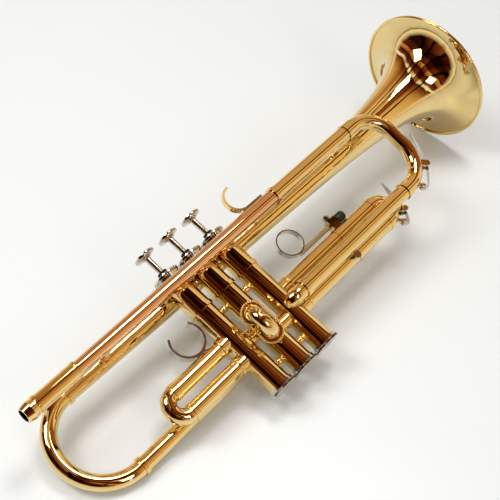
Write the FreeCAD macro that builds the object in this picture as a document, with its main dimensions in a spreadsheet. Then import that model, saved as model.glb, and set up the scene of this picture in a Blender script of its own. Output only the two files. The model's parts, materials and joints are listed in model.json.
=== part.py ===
import FreeCAD, Part
import math
import os
import re

# A three-valve B flat trumpet with its slides pushed in, lying on its left side on a flat surface.
#
# The pieces are laid out in the trumpet's own playing frame: +X towards the bell, +Y from the valves'
# bottom caps to their finger buttons, +Z to the player's right. The middle valve's axis is x = 0, z = 0,
# and the bell's axis crosses it near y = 0. Then every piece gets the one placement that lays the
# trumpet down: +X stays towards the bell, +Y towards the buttons and +Z becomes up.

Vector = FreeCAD.Vector
Rotation = FreeCAD.Rotation
Placement = FreeCAD.Placement

# Driving dimensions, in millimetres and degrees: alias, value, what it is.
SIZES = [
    ("valve_gap", 25.6, "distance between neighbouring valve axes"),
    ("casing_radius", 9.6, "outside of a valve casing below its step"),
    ("casing_upper_radius", 10.2, "outside of a valve casing above its step"),
    ("casing_bore", 8.5, "bore of a valve casing"),
    ("casing_top", 8.5, "top of a casing above the bell axis"),
    ("casing_foot", 107.0, "bottom of a casing below the bell axis"),
    ("step_drop", 24.7, "casing step below the bell axis"),
    ("step_radius", 10.9, "outside of the casing's step ring"),
    ("step_width", 3.0, "length of the step ring"),
    ("thread_radius", 9.8, "outside of the threads under the top caps"),
    ("thread_length", 5.5, "length of the threads under the top caps"),
    ("foot_thread_radius", 9.2, "outside of the threads under the bottom caps"),
    ("foot_thread_length", 3.0, "length of the threads under the bottom caps"),
    ("piston_gap", 0.05, "radial running clearance of pistons, legs, rods and key pins"),
    ("piston_top", 34.0, "top of the piston's solid body below the bell axis"),
    ("piston_foot", 90.5, "bottom of the piston below the bell axis"),
    ("barrel_top", -6.8, "top of the spring barrel below the bell axis, so above it"),
    ("barrel_wall", 1.0, "wall of the spring barrel"),
    ("barrel_lid", 2.2, "thickness of the spring barrel's lid"),
    ("piston_travel", 15.0, "travel of a piston"),
    ("port_radius", 5.7, "radius of the windways through pistons and casings"),
    ("guide_top", 25.5, "top of the valve guide below the bell axis"),
    ("guide_height", 3.0, "height of the valve guide"),
    ("guide_width", 4.0, "width of the valve guide"),
    ("guide_play", 0.5, "play round the guide in the barrel's slot"),
    ("spring_play", 1.4, "room between a valve spring and the spring barrel"),
    ("spring_wire", 0.45, "radius of the spring wire"),
    ("spring_turns", 6.0, "turns of a valve spring"),
    ("stem_radius", 2.5, "radius of a valve stem"),
    ("stem_hole", 3.2, "hole for the stem in a top cap"),
    ("cap_flange", 11.6, "radius of the caps' knurled flanges"),
    ("cap_skirt", 10.8, "radius of a top cap's skirt"),
    ("cap_bottom", 5.5, "lower edge of a top cap above the bell axis"),
    ("cap_flange_low", 11.0, "underside of a top cap's flange above the bell axis"),
    ("cap_flange_top", 13.4, "top of a top cap's flange above the bell axis"),
    ("cap_top", 15.6, "top of a top cap's hub above the bell axis"),
    ("cap_hub", 4.4, "radius of a top cap's hub"),
    ("felt_radius", 4.2, "radius of a felt washer"),
    ("felt_height", 1.6, "height of a felt washer"),
    ("button_radius", 9.0, "radius of a finger button"),
    ("button_low", 32.3, "underside of a finger button above the bell axis"),
    ("button_height", 4.2, "height of a finger button"),
    ("pearl_radius", 7.0, "radius of the inlay recess in a finger button"),
    ("foot_cap_radius", 10.4, "radius of a bottom cap's skirt"),
    ("foot_cap_low", 109.2, "underside of a bottom cap below the bell axis"),
    ("foot_floor", 1.6, "thickness of a bottom cap's floor"),
    ("foot_flange_width", 2.6, "height of a bottom cap's flange"),
    ("vent_radius", 2.0, "radius of the vent hole in a bottom cap"),
    ("leg_radius", 6.15, "outside of the inner slide legs"),
    ("leg_bore", 5.8, "bore of the inner slide legs"),
    ("sleeve_wall", 0.42, "wall of the outer slide sleeves"),
    ("bow_step", 0.15, "how far the slide bows stand proud of the inner legs"),
    ("ferrule_step", 0.38, "how far the slide ferrules stand proud of the sleeves"),
    ("ferrule_length", 4.0, "length of the short slide ferrules"),
    ("bead_step", 1.0, "how far the second slide's beads stand proud of its ferrules"),
    ("upper_port", 55.0, "upper slide legs below the bell axis"),
    ("lower_port", 74.0, "lower slide legs below the bell axis"),
    ("pipe_height", 1.0, "leadpipe axis above the bell axis"),
    ("pipe_side", 16.8, "leadpipe axis right of the valve plane"),
    ("mouth_reach", 180.8, "receiver's mouth behind the middle valve"),
    ("mouth_radius", 6.0, "outside of the receiver's mouth"),
    ("receiver_bulge", 7.2, "largest radius of the receiver's barrel"),
    ("receiver_bore", 5.0, "radius of the mouthpiece socket's land"),
    ("receiver_land", 6.0, "length of the mouthpiece socket's land"),
    ("receiver_throat", 4.4, "radius at the bottom of the mouthpiece socket"),
    ("receiver_depth", 25.0, "depth of the mouthpiece socket"),
    ("barrel_length", 12.8, "length of the receiver's barrel with its ring"),
    ("receiver_length", 49.0, "length of the receiver with its sleeve"),
    ("receiver_sleeve", 6.6, "outside of the receiver's sleeve"),
    ("pipe_radius", 5.7, "outside of the leadpipe at the receiver"),
    ("pipe_end_radius", 6.2, "outside of the leadpipe at the tuning slide"),
    ("pipe_wall", 0.6, "wall of the leadpipe"),
    ("pipe_overlap", 18.0, "length of leadpipe inside the receiver's sleeve"),
    ("pipe_reach", 83.0, "front collar of the leadpipe ahead of the middle valve"),
    ("pipe_plug", 6.0, "length of leadpipe inside the slide sleeve"),
    ("collar_radius", 7.5, "outside of the collar and joint rings"),
    ("collar_length", 3.0, "length of the collar and joint rings"),
    ("main_reach", 172.5, "front end of the main slide sleeves ahead of the middle valve"),
    ("main_ferrule", 11.5, "length of the main slide's ferrules"),
    ("main_top_turn", 24.0, "centre-line radius of the main bow's upper bend"),
    ("main_low_turn", 28.0, "centre-line radius of the main bow's lower bend"),
    ("main_drop", 67.8, "height between the main slide's legs"),
    ("main_lean", 6.0, "side offset between the main slide's legs"),
    ("main_insert", 72.0, "length of the main slide's legs inside their sleeves"),
    ("main_start", 44.0, "start of the lower main sleeve ahead of the middle valve"),
    ("elbow_turn", 9.5, "centre-line radius of the elbow at the third valve"),
    ("bell_radius", 61.5, "outside radius of the bell"),
    ("bell_reach", 311.0, "bell's rim ahead of the middle valve"),
    ("bell_side", 19.5, "bell axis left of the valve plane"),
    ("bell_drop", 0.5, "bell axis below the frame's level"),
    ("flare_offset", 10.5, "offset of the bell's flare law"),
    ("flare_power", 0.6, "exponent of the bell's flare law"),
    ("bell_swell", 0.9, "how much the bell's stem swells over the flare law"),
    ("bell_wall", 0.6, "wall of the bell"),
    ("rim_radius", 1.2, "radius of the bell's rim bead"),
    ("bow_reach", 139.7, "bell bow's joints behind the middle valve"),
    ("bell_bow_drop", 74.4, "height between the bell bow's two ends"),
    ("tail_radius", 6.2, "outside of the bell tail"),
    ("tail_side", 13.8, "bell tail left of the valve plane"),
    ("tail_wall", 0.5, "wall of the bell bow and tail"),
    ("tail_turn", 9.4, "centre-line radius of the elbow at the first valve"),
    ("tail_sleeve_start", 85.4, "rear end of the tail's sleeve behind the middle valve"),
    ("tail_sleeve_end", 46.6, "front end of the tail's sleeve behind the middle valve"),
    ("sleeve_step", 0.5, "how far a joint's sleeve stands proud"),
    ("first_reach", 86.0, "rear end of the first slide's sleeves behind the middle valve"),
    ("first_insert", 40.0, "length of the first slide's legs inside their sleeves"),
    ("second_turn", 24.0, "angle of the second slide from straight out towards the player"),
    ("second_reach", 20.0, "end of the second slide's sleeves from the valve axis"),
    ("second_insert", 10.0, "length of the second slide's legs inside their sleeves"),
    ("third_side", 3.2, "third slide left of the valve plane"),
    ("third_reach", 104.0, "front end of the third slide's fixed sleeves"),
    ("third_sleeve", 48.0, "length of the third slide's moving sleeves"),
    ("third_insert", 56.0, "length of the third slide's legs inside the fixed sleeves"),
    ("slide_gap", 0.3, "gap left where a moving ferrule meets a fixed sleeve"),
    ("knuckle_step", 0.78, "how far the rings where sleeves meet the casings stand proud of the sleeves"),
    ("knuckle_length", 4.0, "length of the rings where sleeves meet the casings"),
    ("knuckle_bead", 0.7, "radius of the bead that ends each of these rings"),
    ("hook_radius", 14.6, "outside radius of the thumb hook"),
    ("hook_place", 27.2, "thumb hook's centre behind the first valve"),
    ("hook_band", 1.9, "thickness of the thumb hook's band"),
    ("hook_width", 7.0, "width of the thumb hook's band"),
    ("hook_open", 95.0, "angle of the thumb hook's opening"),
    ("pinky_radius", 12.0, "outside radius of the little-finger hook"),
    ("pinky_place", 57.0, "little-finger hook's centre ahead of the middle valve"),
    ("pinky_band", 1.8, "thickness of the little-finger hook"),
    ("pinky_width", 4.5, "width of the little-finger hook"),
    ("pinky_foot", 22.0, "length of the little-finger hook's foot"),
    ("ring_radius", 11.7, "outside radius of the finger ring"),
    ("ring_band", 1.0, "thickness of the finger ring"),
    ("ring_width", 5.0, "width of the finger ring"),
    ("ring_place", 70.9, "finger ring's centre ahead of the middle valve"),
    ("ring_height", 43.8, "finger ring's rod below the bell axis"),
    ("rod_radius", 2.2, "radius of the finger ring's rod"),
    ("clamp_place", 112.0, "clamp block ahead of the middle valve"),
    ("clamp_size", 8.0, "side of the clamp block"),
    ("knob_radius", 4.3, "radius of the rod's end knob"),
    ("knob_length", 9.0, "length of the rod's end knob"),
    ("ring_travel", 8.0, "adjustment of the finger ring"),
    ("screw_radius", 1.6, "radius of the clamp screw's shank"),
    ("screw_head", 3.0, "radius of the clamp screw's head"),
    ("brace_rear", 101.6, "rear brace behind the middle valve"),
    ("brace_front", 167.5, "front brace ahead of the middle valve"),
    ("brace_radius", 1.8, "radius of the brace rods"),
    ("brace_foot", 4.2, "radius of the brace's feet"),
    ("link_upper", 35.5, "upper links between casings below the bell axis"),
    ("link_lower", 92.0, "lower links between casings below the bell axis"),
    ("link_radius", 1.8, "radius of the links' rods"),
    ("link_bead", 3.2, "radius of the links' beads"),
    ("cross_first", 64.5, "windway between valves 1 and 2 below the bell axis"),
    ("cross_second", 73.5, "windway between valves 2 and 3 below the bell axis"),
    ("cross_radius", 6.4, "outside of the windways between valves"),
    ("key_pin", 0.9, "radius of a water key's pivot pin"),
    ("key_width", 6.0, "width of a water key's lever"),
    ("key_plate", 1.5, "thickness of a water key's lever"),
    ("key_knuckle", 2.1, "radius of a water key's knuckle"),
    ("key_ear", 1.2, "thickness of a water key's saddle ears"),
    ("key_side_play", 0.3, "side play of a water key between its ears"),
    ("cup_radius", 3.3, "radius of a water key's cork cup"),
    ("cup_height", 2.4, "height of a water key's cork cup"),
    ("cork_radius", 2.7, "radius of a water key's cork"),
    ("cork_height", 1.2, "how far a cork stands out of its cup"),
    ("nipple_height", 1.2, "height of the nipple under a cork"),
]

doc = FreeCAD.newDocument("trumpet")
sheet = doc.addObject("Spreadsheet::Sheet", "Sizes")
for row, (alias, value, meaning) in enumerate(SIZES, 1):
    sheet.set(f"A{row}", meaning)
    sheet.set(f"B{row}", str(value))
    sheet.setAlias(f"B{row}", alias)
doc.recompute()
size = {alias: float(sheet.get(alias)) for alias, value, meaning in SIZES}

ALONG_Z = Rotation()
ALONG_X = Rotation(Vector(0, 1, 0), 90)
BACK_X = Rotation(Vector(0, 1, 0), -90)
ALONG_Y = Rotation(Vector(1, 0, 0), -90)
ORIGIN = ("0", "0", "0")

parts = {}

# Radii that follow from other sizes.
SLEEVE_BORE = "leg_radius + piston_gap"
SLEEVE = SLEEVE_BORE + " + sleeve_wall"
BOW = "leg_radius + bow_step"
FERRULE = SLEEVE + " + ferrule_step"
BEAD = FERRULE + " + bead_step"
KNUCKLE = SLEEVE + " + knuckle_step"
SPRING = "casing_bore - piston_gap - barrel_wall - spring_wire - spring_play"


def link(text):
    """The expression with every alias pointed at the sheet."""
    return re.sub(r"[a-z][a-z_]*", lambda m: "Sizes." + m.group(0) if m.group(0) in size else m.group(0), text)


def put(item, at, along):
    """Set an object's place, with its coordinates bound to the sheet."""
    item.Placement = Placement(Vector(), along)
    for axis, text in zip("xyz", at):
        if text != "0":
            item.setExpression("Placement.Base." + axis, link(text))
    return item


def primitive(kind, at, along, **sizes):
    item = doc.addObject("Part::" + kind, kind)
    for name, text in sizes.items():
        item.setExpression(name, link(text))
    return put(item, at, along)


def rod(radius, length, at=ORIGIN, along=ALONG_Z):
    return primitive("Cylinder", at, along, Radius=radius, Height=length)


def cone(low, high, length, at=ORIGIN, along=ALONG_Z):
    return primitive("Cone", at, along, Radius1=low, Radius2=high, Height=length)


def block(length, width, height, at=ORIGIN, along=ALONG_Z):
    return primitive("Box", at, along, Length=length, Width=width, Height=height)


def ring(mean, wire, at=ORIGIN, along=ALONG_Z, sweep="360"):
    return primitive("Torus", at, along, Radius1=mean, Radius2=wire, Angle3=sweep)


def ball(radius, at=ORIGIN):
    return primitive("Sphere", at, ALONG_Z, Radius=radius)


def fuse(*items):
    """One solid from pieces that touch or overlap."""
    joined = doc.addObject("Part::MultiFuse", "Fuse")
    joined.Shapes = list(items)
    joined.Refine = True
    return joined


def cut(base, *tools):
    """The base with every tool taken away."""
    for tool in tools:
        less = doc.addObject("Part::Cut", "Cut")
        less.Base = base
        less.Tool = tool
        base = less
    return base


def group(*items):
    """Alike pieces kept as separate solids in one node."""
    together = doc.addObject("Part::Compound", "Group")
    together.Links = list(items)
    return together


def node(label, item, own=None):
    """Name a finished sub-part. own is its turn inside the playing frame, if it has one."""
    item.Label = label
    parts[label] = (item, own or Placement())
    return item


def tube(outside, bore, length, at, along):
    """A straight tube; its bore runs a little past both ends."""
    x, y, z = at
    reach = along.multVec(Vector(0, 0, 1))
    back = [f"({text}) - 1 * {round(step)}" for text, step in zip((x, y, z), reach)]
    return cut(rod(outside, length, at, along), rod(bore, f"({length}) + 2", back, along))


def valve_x(number):
    return f"({number} - 2) * valve_gap"


def on_axis(number, drop):
    """A point on a valve's axis, this far below the bell axis."""
    return (valve_x(number), f"-({drop})", "0")


def casing_core(number, radius="casing_radius"):
    """The casing as a filled cylinder, for fitting other pieces against it."""
    return rod(radius, "casing_foot + casing_top", on_axis(number, "casing_foot"), ALONG_Y)


# ---------------------------------------------------------------- valves

def casing_ports(number):
    """Cutters for the windways through a casing's wall."""
    reach = "casing_radius + 6"
    slides = {1: BACK_X, 2: Rotation(Vector(0, 1, 0), -size["second_turn"]), 3: ALONG_X}
    offset = "-third_side" if number == 3 else "0"
    for drop in ("upper_port", "lower_port"):
        x, y, z = on_axis(number, drop)
        yield rod("port_radius", reach, (x, y, offset), slides[number])
    if number < 3:
        yield rod("port_radius", reach, on_axis(number, "cross_first" if number == 1 else "cross_second"), ALONG_X)
    if number > 1:
        yield rod("port_radius", reach, on_axis(number, "cross_first" if number == 2 else "cross_second"), BACK_X)
    if number == 1:
        yield rod("port_radius - 0.7", reach, on_axis(number, "bell_drop + bell_bow_drop"),
                  Rotation(Vector(1, 0, 0), 180))
    if number == 3:
        yield rod("port_radius - 0.7", reach, on_axis(number, "main_drop - pipe_height"), ALONG_Z)


def valve_casing(number):
    body = fuse(
        rod("foot_thread_radius", "foot_thread_length", on_axis(number, "casing_foot"), ALONG_Y),
        rod("casing_radius", "casing_foot - foot_thread_length - step_drop",
            on_axis(number, "casing_foot - foot_thread_length"), ALONG_Y),
        rod("step_radius", "step_width", on_axis(number, "step_drop + step_width / 2"), ALONG_Y),
        rod("casing_upper_radius", "step_drop + casing_top - thread_length", on_axis(number, "step_drop"), ALONG_Y),
        rod("thread_radius", "thread_length", on_axis(number, "thread_length - casing_top"), ALONG_Y))
    bore = rod("casing_bore", "casing_foot + casing_top + 2", on_axis(number, "casing_foot + 1"), ALONG_Y)
    node(f"valve_casing_{number}", cut(body, bore, *casing_ports(number)))


def top_cap(number):
    body = fuse(
        rod("cap_skirt", "cap_flange_low - cap_bottom", on_axis(number, "-cap_bottom"), ALONG_Y),
        rod("cap_flange", "cap_flange_top - cap_flange_low", on_axis(number, "-cap_flange_low"), ALONG_Y),
        cone("cap_flange - 1.2", "cap_hub + 1.6", "(cap_top - cap_flange_top) * 0.6",
             on_axis(number, "-cap_flange_top"), ALONG_Y),
        rod("cap_hub", "cap_top - cap_flange_top", on_axis(number, "-cap_flange_top"), ALONG_Y))
    threads = rod("thread_radius", "casing_top - cap_bottom + 0.1", on_axis(number, "-cap_bottom + 0.1"), ALONG_Y)
    hole = rod("stem_hole", "cap_top", on_axis(number, "-cap_bottom"), ALONG_Y)
    return cut(body, threads, hole)


def bottom_cap(number):
    low = on_axis(number, "foot_cap_low")
    body = fuse(
        rod("foot_cap_radius", "foot_cap_low - casing_foot + foot_thread_length", low, ALONG_Y),
        rod("cap_flange", "foot_flange_width", low, ALONG_Y))
    threads = rod("foot_thread_radius", "foot_thread_length + 0.1", on_axis(number, "casing_foot"), ALONG_Y)
    well = rod("casing_bore", "foot_cap_low - foot_floor - casing_foot + 0.1",
               on_axis(number, "foot_cap_low - foot_floor"), ALONG_Y)
    vent = rod("vent_radius", "foot_floor + 2", on_axis(number, "foot_cap_low + 1"), ALONG_Y)
    return cut(body, threads, well, vent)


def stem_felts(number):
    """A washer on the top cap under the button, and one inside the cap above the spring barrel."""
    for radius, height, low in (("felt_radius", "felt_height", "cap_top"),
                                ("felt_radius + 2.5", "casing_top + barrel_top", "-barrel_top")):
        yield cut(rod(radius, height, on_axis(number, f"-({low})"), ALONG_Y),
                  rod("stem_hole", "felt_height + 4", on_axis(number, f"-({low}) + 2"), ALONG_Y))


def valve_guide(number):
    """The star-shaped guide held in the casing; its two arms run in the barrel's slots."""
    bar = block("2 * casing_bore", "guide_height", "guide_width",
                (f"{valve_x(number)} - casing_bore", "-guide_top - guide_height", "-guide_width / 2"))
    hub = rod(f"{SPRING} + 0.8", "guide_height", on_axis(number, "guide_top + guide_height"), ALONG_Y)
    inside = rod("casing_bore", "guide_height + 2", on_axis(number, "guide_top + guide_height + 1"), ALONG_Y)
    whole = doc.addObject("Part::MultiCommon", "Common")
    whole.Shapes = [fuse(bar, hub), inside]
    return whole


def piston(number):
    radius = "casing_bore - piston_gap"
    inner = "casing_bore - piston_gap - barrel_wall"
    body = rod(radius, "piston_foot - barrel_top", on_axis(number, "piston_foot"), ALONG_Y)
    well = rod(inner, "piston_top - barrel_top - barrel_lid", on_axis(number, "piston_top"), ALONG_Y)
    slot_low = "guide_top + guide_height + guide_play"
    slot = block("2 * casing_bore + 2", "guide_height + piston_travel + 2 * guide_play",
                 "guide_width + 2 * guide_play",
                 (f"{valve_x(number)} - casing_bore - 1", f"-({slot_low})", "-guide_width / 2 - guide_play"))
    hole = rod("stem_radius", "barrel_lid + 2", on_axis(number, "barrel_top + barrel_lid + 1"), ALONG_Y)
    ways = [rod("port_radius", "4 * casing_bore", (f"{valve_x(number)} - 2 * casing_bore", f"-({drop})", "0"), ALONG_X)
            for drop in ("piston_top + 8", "(piston_top + piston_foot) / 2", "piston_foot - 8")]
    node(f"piston_{number}", cut(body, well, slot, hole, *ways))


def valve_stem(number):
    low = "barrel_top + barrel_lid"
    node(f"valve_stem_{number}",
         rod_in_fuse("stem_radius", f"button_low + 1.4 + {low}", on_axis(number, low), ALONG_Y))


def rod_in_fuse(radius, length, at, along):
    """A plain rod as a finished sub-part with room for its own placement."""
    return fuse(rod(radius, f"({length}) / 2", at, along), rod(radius, length, at, along))


def finger_button(number):
    low = on_axis(number, "-button_low")
    body = fuse(
        cone("stem_radius + 1.4", "button_radius - 0.6", "button_height * 0.35", low, ALONG_Y),
        rod("button_radius", "button_height * 0.5", on_axis(number, "-button_low - button_height * 0.35"), ALONG_Y),
        cone("button_radius", "button_radius - 0.7", "button_height * 0.15",
             on_axis(number, "-button_low - button_height * 0.85"), ALONG_Y))
    dish = rod("pearl_radius", "1", on_axis(number, "-button_low - button_height + 0.5"), ALONG_Y)
    socket = rod("stem_radius", "1.4 + 1", on_axis(number, "-button_low + 1"), ALONG_Y)
    node(f"finger_button_{number}", cut(body, dish, socket))


def valve_spring(number):
    """A coil between the guide and the lid of the spring barrel."""
    helix = doc.addObject("Part::Helix", "Helix")
    room = "guide_top - barrel_top - barrel_lid - 2 * spring_wire"
    helix.setExpression("Radius", link(SPRING))
    helix.setExpression("Height", link(room))
    helix.setExpression("Pitch", link(f"({room}) / spring_turns"))
    helix.SegmentLength = 1
    put(helix, on_axis(number, "guide_top - spring_wire"), ALONG_Y)
    section = doc.addObject("Part::Circle", "Wire")
    section.setExpression("Radius", link("spring_wire"))
    x, y, z = on_axis(number, "guide_top - spring_wire")
    put(section, (f"{x} + {SPRING}", y, z), Rotation())
    coil = doc.addObject("Part::Sweep", "Coil")
    coil.Sections = [section]
    coil.Spine = (helix, [])
    coil.Solid = True
    coil.Frenet = True
    node(f"valve_spring_{number}", coil)


def valves():
    numbers = (1, 2, 3)
    for number in numbers:
        valve_casing(number)
        piston(number)
        valve_stem(number)
        finger_button(number)
        valve_spring(number)
    node("bottom_caps", group(*[bottom_cap(number) for number in numbers]))
    node("top_caps", group(*[top_cap(number) for number in numbers]))
    node("stem_felts", group(*[felt for number in numbers for felt in stem_felts(number)]))
    node("valve_guides", group(*[valve_guide(number) for number in numbers]))


def valve_links():
    """Windways and beaded rods that join neighbouring casings."""
    pieces = []
    for number, cross in ((1, "cross_first"), (2, "cross_second")):
        start = on_axis(number, cross)
        pair = [cut(rod("cross_radius", "valve_gap", start, ALONG_X), rod("leg_bore", "valve_gap", start, ALONG_X))]
        for drop in ("link_upper", "link_lower"):
            middle = (f"({number} - 1.5) * valve_gap", f"-{drop}", "0")
            pair.append(fuse(rod("link_radius", "valve_gap", on_axis(number, drop), ALONG_X),
                             ball("link_bead", middle)))
        pieces += [cut(piece, casing_core(number), casing_core(number + 1)) for piece in pair]
    node("valve_links", group(*pieces))


# ---------------------------------------------------------------- leadpipe and main slide

def pipe_at(x):
    return (x, "pipe_height", "pipe_side")


def mouthpiece_receiver():
    mouth = "-mouth_reach"
    body = fuse(
        cone("mouth_radius", "receiver_bulge", "barrel_length * 0.45", pipe_at(mouth), ALONG_X),
        cone("receiver_bulge", "receiver_sleeve", "barrel_length * 0.4",
             pipe_at(f"{mouth} + barrel_length * 0.45"), ALONG_X),
        rod("collar_radius", "barrel_length * 0.15", pipe_at(f"{mouth} + barrel_length * 0.85"), ALONG_X),
        rod("receiver_sleeve", "receiver_length - barrel_length", pipe_at(f"{mouth} + barrel_length"), ALONG_X),
        rod("receiver_sleeve + 0.5", "1.5", pipe_at(f"{mouth} + receiver_length - 1.5"), ALONG_X))
    land = rod("receiver_bore", "receiver_land + 1", pipe_at(f"{mouth} - 1"), ALONG_X)
    socket = cone("receiver_bore", "receiver_throat", "receiver_depth - receiver_land",
                  pipe_at(f"{mouth} + receiver_land"), ALONG_X)
    through = rod("receiver_throat - 0.2", "receiver_length", pipe_at(mouth), ALONG_X)
    seat = rod("pipe_radius", "pipe_overlap + 1", pipe_at(f"{mouth} + receiver_length - pipe_overlap"), ALONG_X)
    node("mouthpiece_receiver", cut(body, land, socket, through, seat))


def leadpipe():
    start = "-mouth_reach + receiver_length - pipe_overlap"
    taper = "pipe_reach + mouth_reach - receiver_length"
    body = fuse(
        rod("pipe_radius", "pipe_overlap", pipe_at(start), ALONG_X),
        cone("pipe_radius", "pipe_end_radius", taper, pipe_at("-mouth_reach + receiver_length"), ALONG_X),
        rod("pipe_end_radius", "pipe_plug", pipe_at("pipe_reach"), ALONG_X))
    bore = fuse(
        rod("pipe_radius - 1.4", "pipe_overlap + 1", pipe_at(f"{start} - 1"), ALONG_X),
        cone("pipe_radius - 1.4", "pipe_end_radius - pipe_wall", taper,
             pipe_at("-mouth_reach + receiver_length"), ALONG_X),
        rod("pipe_end_radius - pipe_wall", "pipe_plug + 1", pipe_at("pipe_reach"), ALONG_X))
    node("leadpipe", cut(body, bore))


LOW_LEG = ("pipe_height - main_drop", "pipe_side - main_lean")


def main_sleeves():
    low_y, low_z = LOW_LEG
    upper = tube(SLEEVE, SLEEVE_BORE, "main_reach - pipe_reach", pipe_at("pipe_reach"), ALONG_X)
    lower = tube(SLEEVE, SLEEVE_BORE, "main_reach - main_start", ("main_start", low_y, low_z), ALONG_X)
    node("main_outer_sleeves", group(upper, lower))


def main_elbow():
    """Carries the lower main leg into the third valve's right side."""
    low_y, low_z = LOW_LEG
    start = f"{valve_x(3)} + elbow_turn"
    centre = (start, low_y, f"{low_z} - elbow_turn")
    sweep = Rotation(Vector(1, 0, 0), 90)

    def bend(radius):
        """From straight along -X, round towards the valve axis."""
        return fuse(
            rod(radius, f"main_start - ({start})", (start, low_y, low_z), ALONG_X),
            ring("elbow_turn", radius, centre, sweep.multiply(Rotation(Vector(0, 0, 1), 90)), "90"),
            rod(radius, "4", (valve_x(3), low_y, f"{low_z} - elbow_turn"), Rotation(Vector(1, 0, 0), 180)))

    knuckle = rod(KNUCKLE, "knuckle_length", ("main_start - knuckle_length", low_y, low_z), ALONG_X)
    node("main_elbow", cut(fuse(bend(BOW), knuckle), bend("leg_bore"), casing_core(3)))


def main_bow_shape(radius):
    """The main bow, built with its legs one above the other and then leaned to its side offset."""
    start = "main_reach + main_ferrule"
    fall = "sqrt(main_drop ^ 2 + main_lean ^ 2)"
    far = f"{start} + main_top_turn"
    low = f"{far} - main_low_turn"
    return fuse(
        ring("main_top_turn", radius, (start, "-main_top_turn", "0"), ALONG_Z, "90"),
        rod(radius, f"{fall} - main_top_turn - main_low_turn", (far, f"main_low_turn - {fall}", "0"), ALONG_Y),
        ring("main_low_turn", radius, (low, f"main_low_turn - {fall}", "0"), Rotation(Vector(0, 0, 1), -90), "90"))


def leaned(item):
    """Lean a piece about the upper main leg's axis to the main slide's side offset."""
    turned = doc.addObject("Part::Compound", "Leaned")
    turned.Links = [item]
    turned.Placement = Placement(Vector(), Rotation(Vector(1, 0, 0), 10))
    turned.setExpression("Placement.Base.y", link("pipe_height"))
    turned.setExpression("Placement.Base.z", link("pipe_side"))
    turned.setExpression("Placement.Rotation.Angle", link("atan(main_lean / main_drop)"))
    return turned


def main_slide():
    """Both legs, each with the ferrule that joins it to its end of the bow; the lower bend starts sooner."""
    legs, ferrules = [], []
    for (y, z), length in ((("pipe_height", "pipe_side"), "main_ferrule"),
                           (LOW_LEG, "main_ferrule + main_top_turn - main_low_turn")):
        legs.append(tube("leg_radius", "leg_bore", f"main_insert + {length} - 1", ("main_reach - main_insert", y, z),
                         ALONG_X))
        ferrules.append(cut(
            fuse(rod(FERRULE, f"{length} - slide_gap", ("main_reach + slide_gap", y, z), ALONG_X),
                 rod("collar_radius", "1.5", ("main_reach + slide_gap", y, z), ALONG_X)),
            rod("leg_radius", length, ("main_reach - 1", y, z), ALONG_X),
            rod("leg_bore", f"{length} + 2", ("main_reach", y, z), ALONG_X)))
    node("main_slide_legs", group(*legs))
    node("main_slide_ferrules", group(*ferrules))
    node("main_slide_bow", group(leaned(cut(main_bow_shape(BOW), main_bow_shape("leg_bore")))))


# ---------------------------------------------------------------- bell

def flare(back):
    """Outside radius of the bell this far behind its rim."""
    law = size["bell_radius"] * (1 + back / size["flare_offset"]) ** -size["flare_power"]
    whole = size["bell_reach"] + size["bow_reach"]
    return law + size["bell_swell"] * math.sin(math.pi * min(back / whole, 1) ** 2)


def bell_outline(inset):
    """The bell's outline from its bow joint to its rim, moved inwards along its own normal."""
    length = size["bell_reach"] + size["bow_reach"]
    count = 24
    points = []
    for step in range(count + 1):
        back = length * (1 - step / count) ** 2.6
        slope = (flare(back) - flare(back + 0.01)) / 0.01 if step else 0
        scale = inset / math.hypot(slope, 1)
        points.append(Vector(size["bell_reach"] - back + scale * slope, flare(back) - scale, 0))
    curve = Part.BSplineCurve()
    curve.interpolate(points)
    return curve


def ends_of(curve):
    return curve.value(curve.FirstParameter), curve.value(curve.LastParameter)


def revolved(name, curves, closing):
    """A solid of revolution about the bell's axis, put in its place."""
    solid = doc.addObject("Part::Feature", name)
    outline = Part.Wire(Part.sortEdges(curves + closing)[0])
    solid.Shape = Part.Face(outline).revolve(Vector(), Vector(1, 0, 0), 360)
    return put(solid, ("0", "-bell_drop", "-bell_side"), Rotation())


def bell():
    """One turned shell from the bow joint to the rim."""
    outer, inner = bell_outline(0), bell_outline(size["bell_wall"])
    closing = [Part.makeLine(*ends) for ends in zip(ends_of(outer), ends_of(inner))]
    shell = revolved("Shell", [outer.toShape(), inner.toShape()], closing)
    node("bell", group(shell))
    bead = ring("bell_radius - rim_radius", "rim_radius",
                ("bell_reach - rim_radius * 0.6", "-bell_drop", "-bell_side"), ALONG_X)
    node("bell_rim_wire", cut(bead, shell))
    return shell


def bell_core():
    """The bell as a filled solid, for fitting other pieces against it."""
    outer = bell_outline(0)
    first, last = ends_of(outer)
    corners = [last, Vector(last.x, 0, 0), Vector(first.x, 0, 0), first]
    return revolved("Core", [outer.toShape()], [Part.makeLine(*pair) for pair in zip(corners, corners[1:])])


def bell_bow_shape(radius):
    """Half a ring between the bell's stem and its tail, leaned to the tail's side offset."""
    half = ring("sqrt(bell_bow_drop ^ 2 + (bell_side - tail_side) ^ 2) / 2", radius,
                ("0", "-sqrt(bell_bow_drop ^ 2 + (bell_side - tail_side) ^ 2) / 2", "0"),
                Rotation(Vector(0, 0, 1), 90), "180")
    turned = doc.addObject("Part::Compound", "Leaned")
    turned.Links = [half]
    turned.Placement = Placement(Vector(), Rotation(Vector(-1, 0, 0), 10))
    for axis, text in zip("xyz", ("-bow_reach", "-bell_drop", "-bell_side")):
        turned.setExpression("Placement.Base." + axis, link(text))
    turned.setExpression("Placement.Rotation.Angle", link("atan((bell_side - tail_side) / bell_bow_drop)"))
    return turned


TAIL = ("-bell_drop - bell_bow_drop", "-tail_side")


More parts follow.
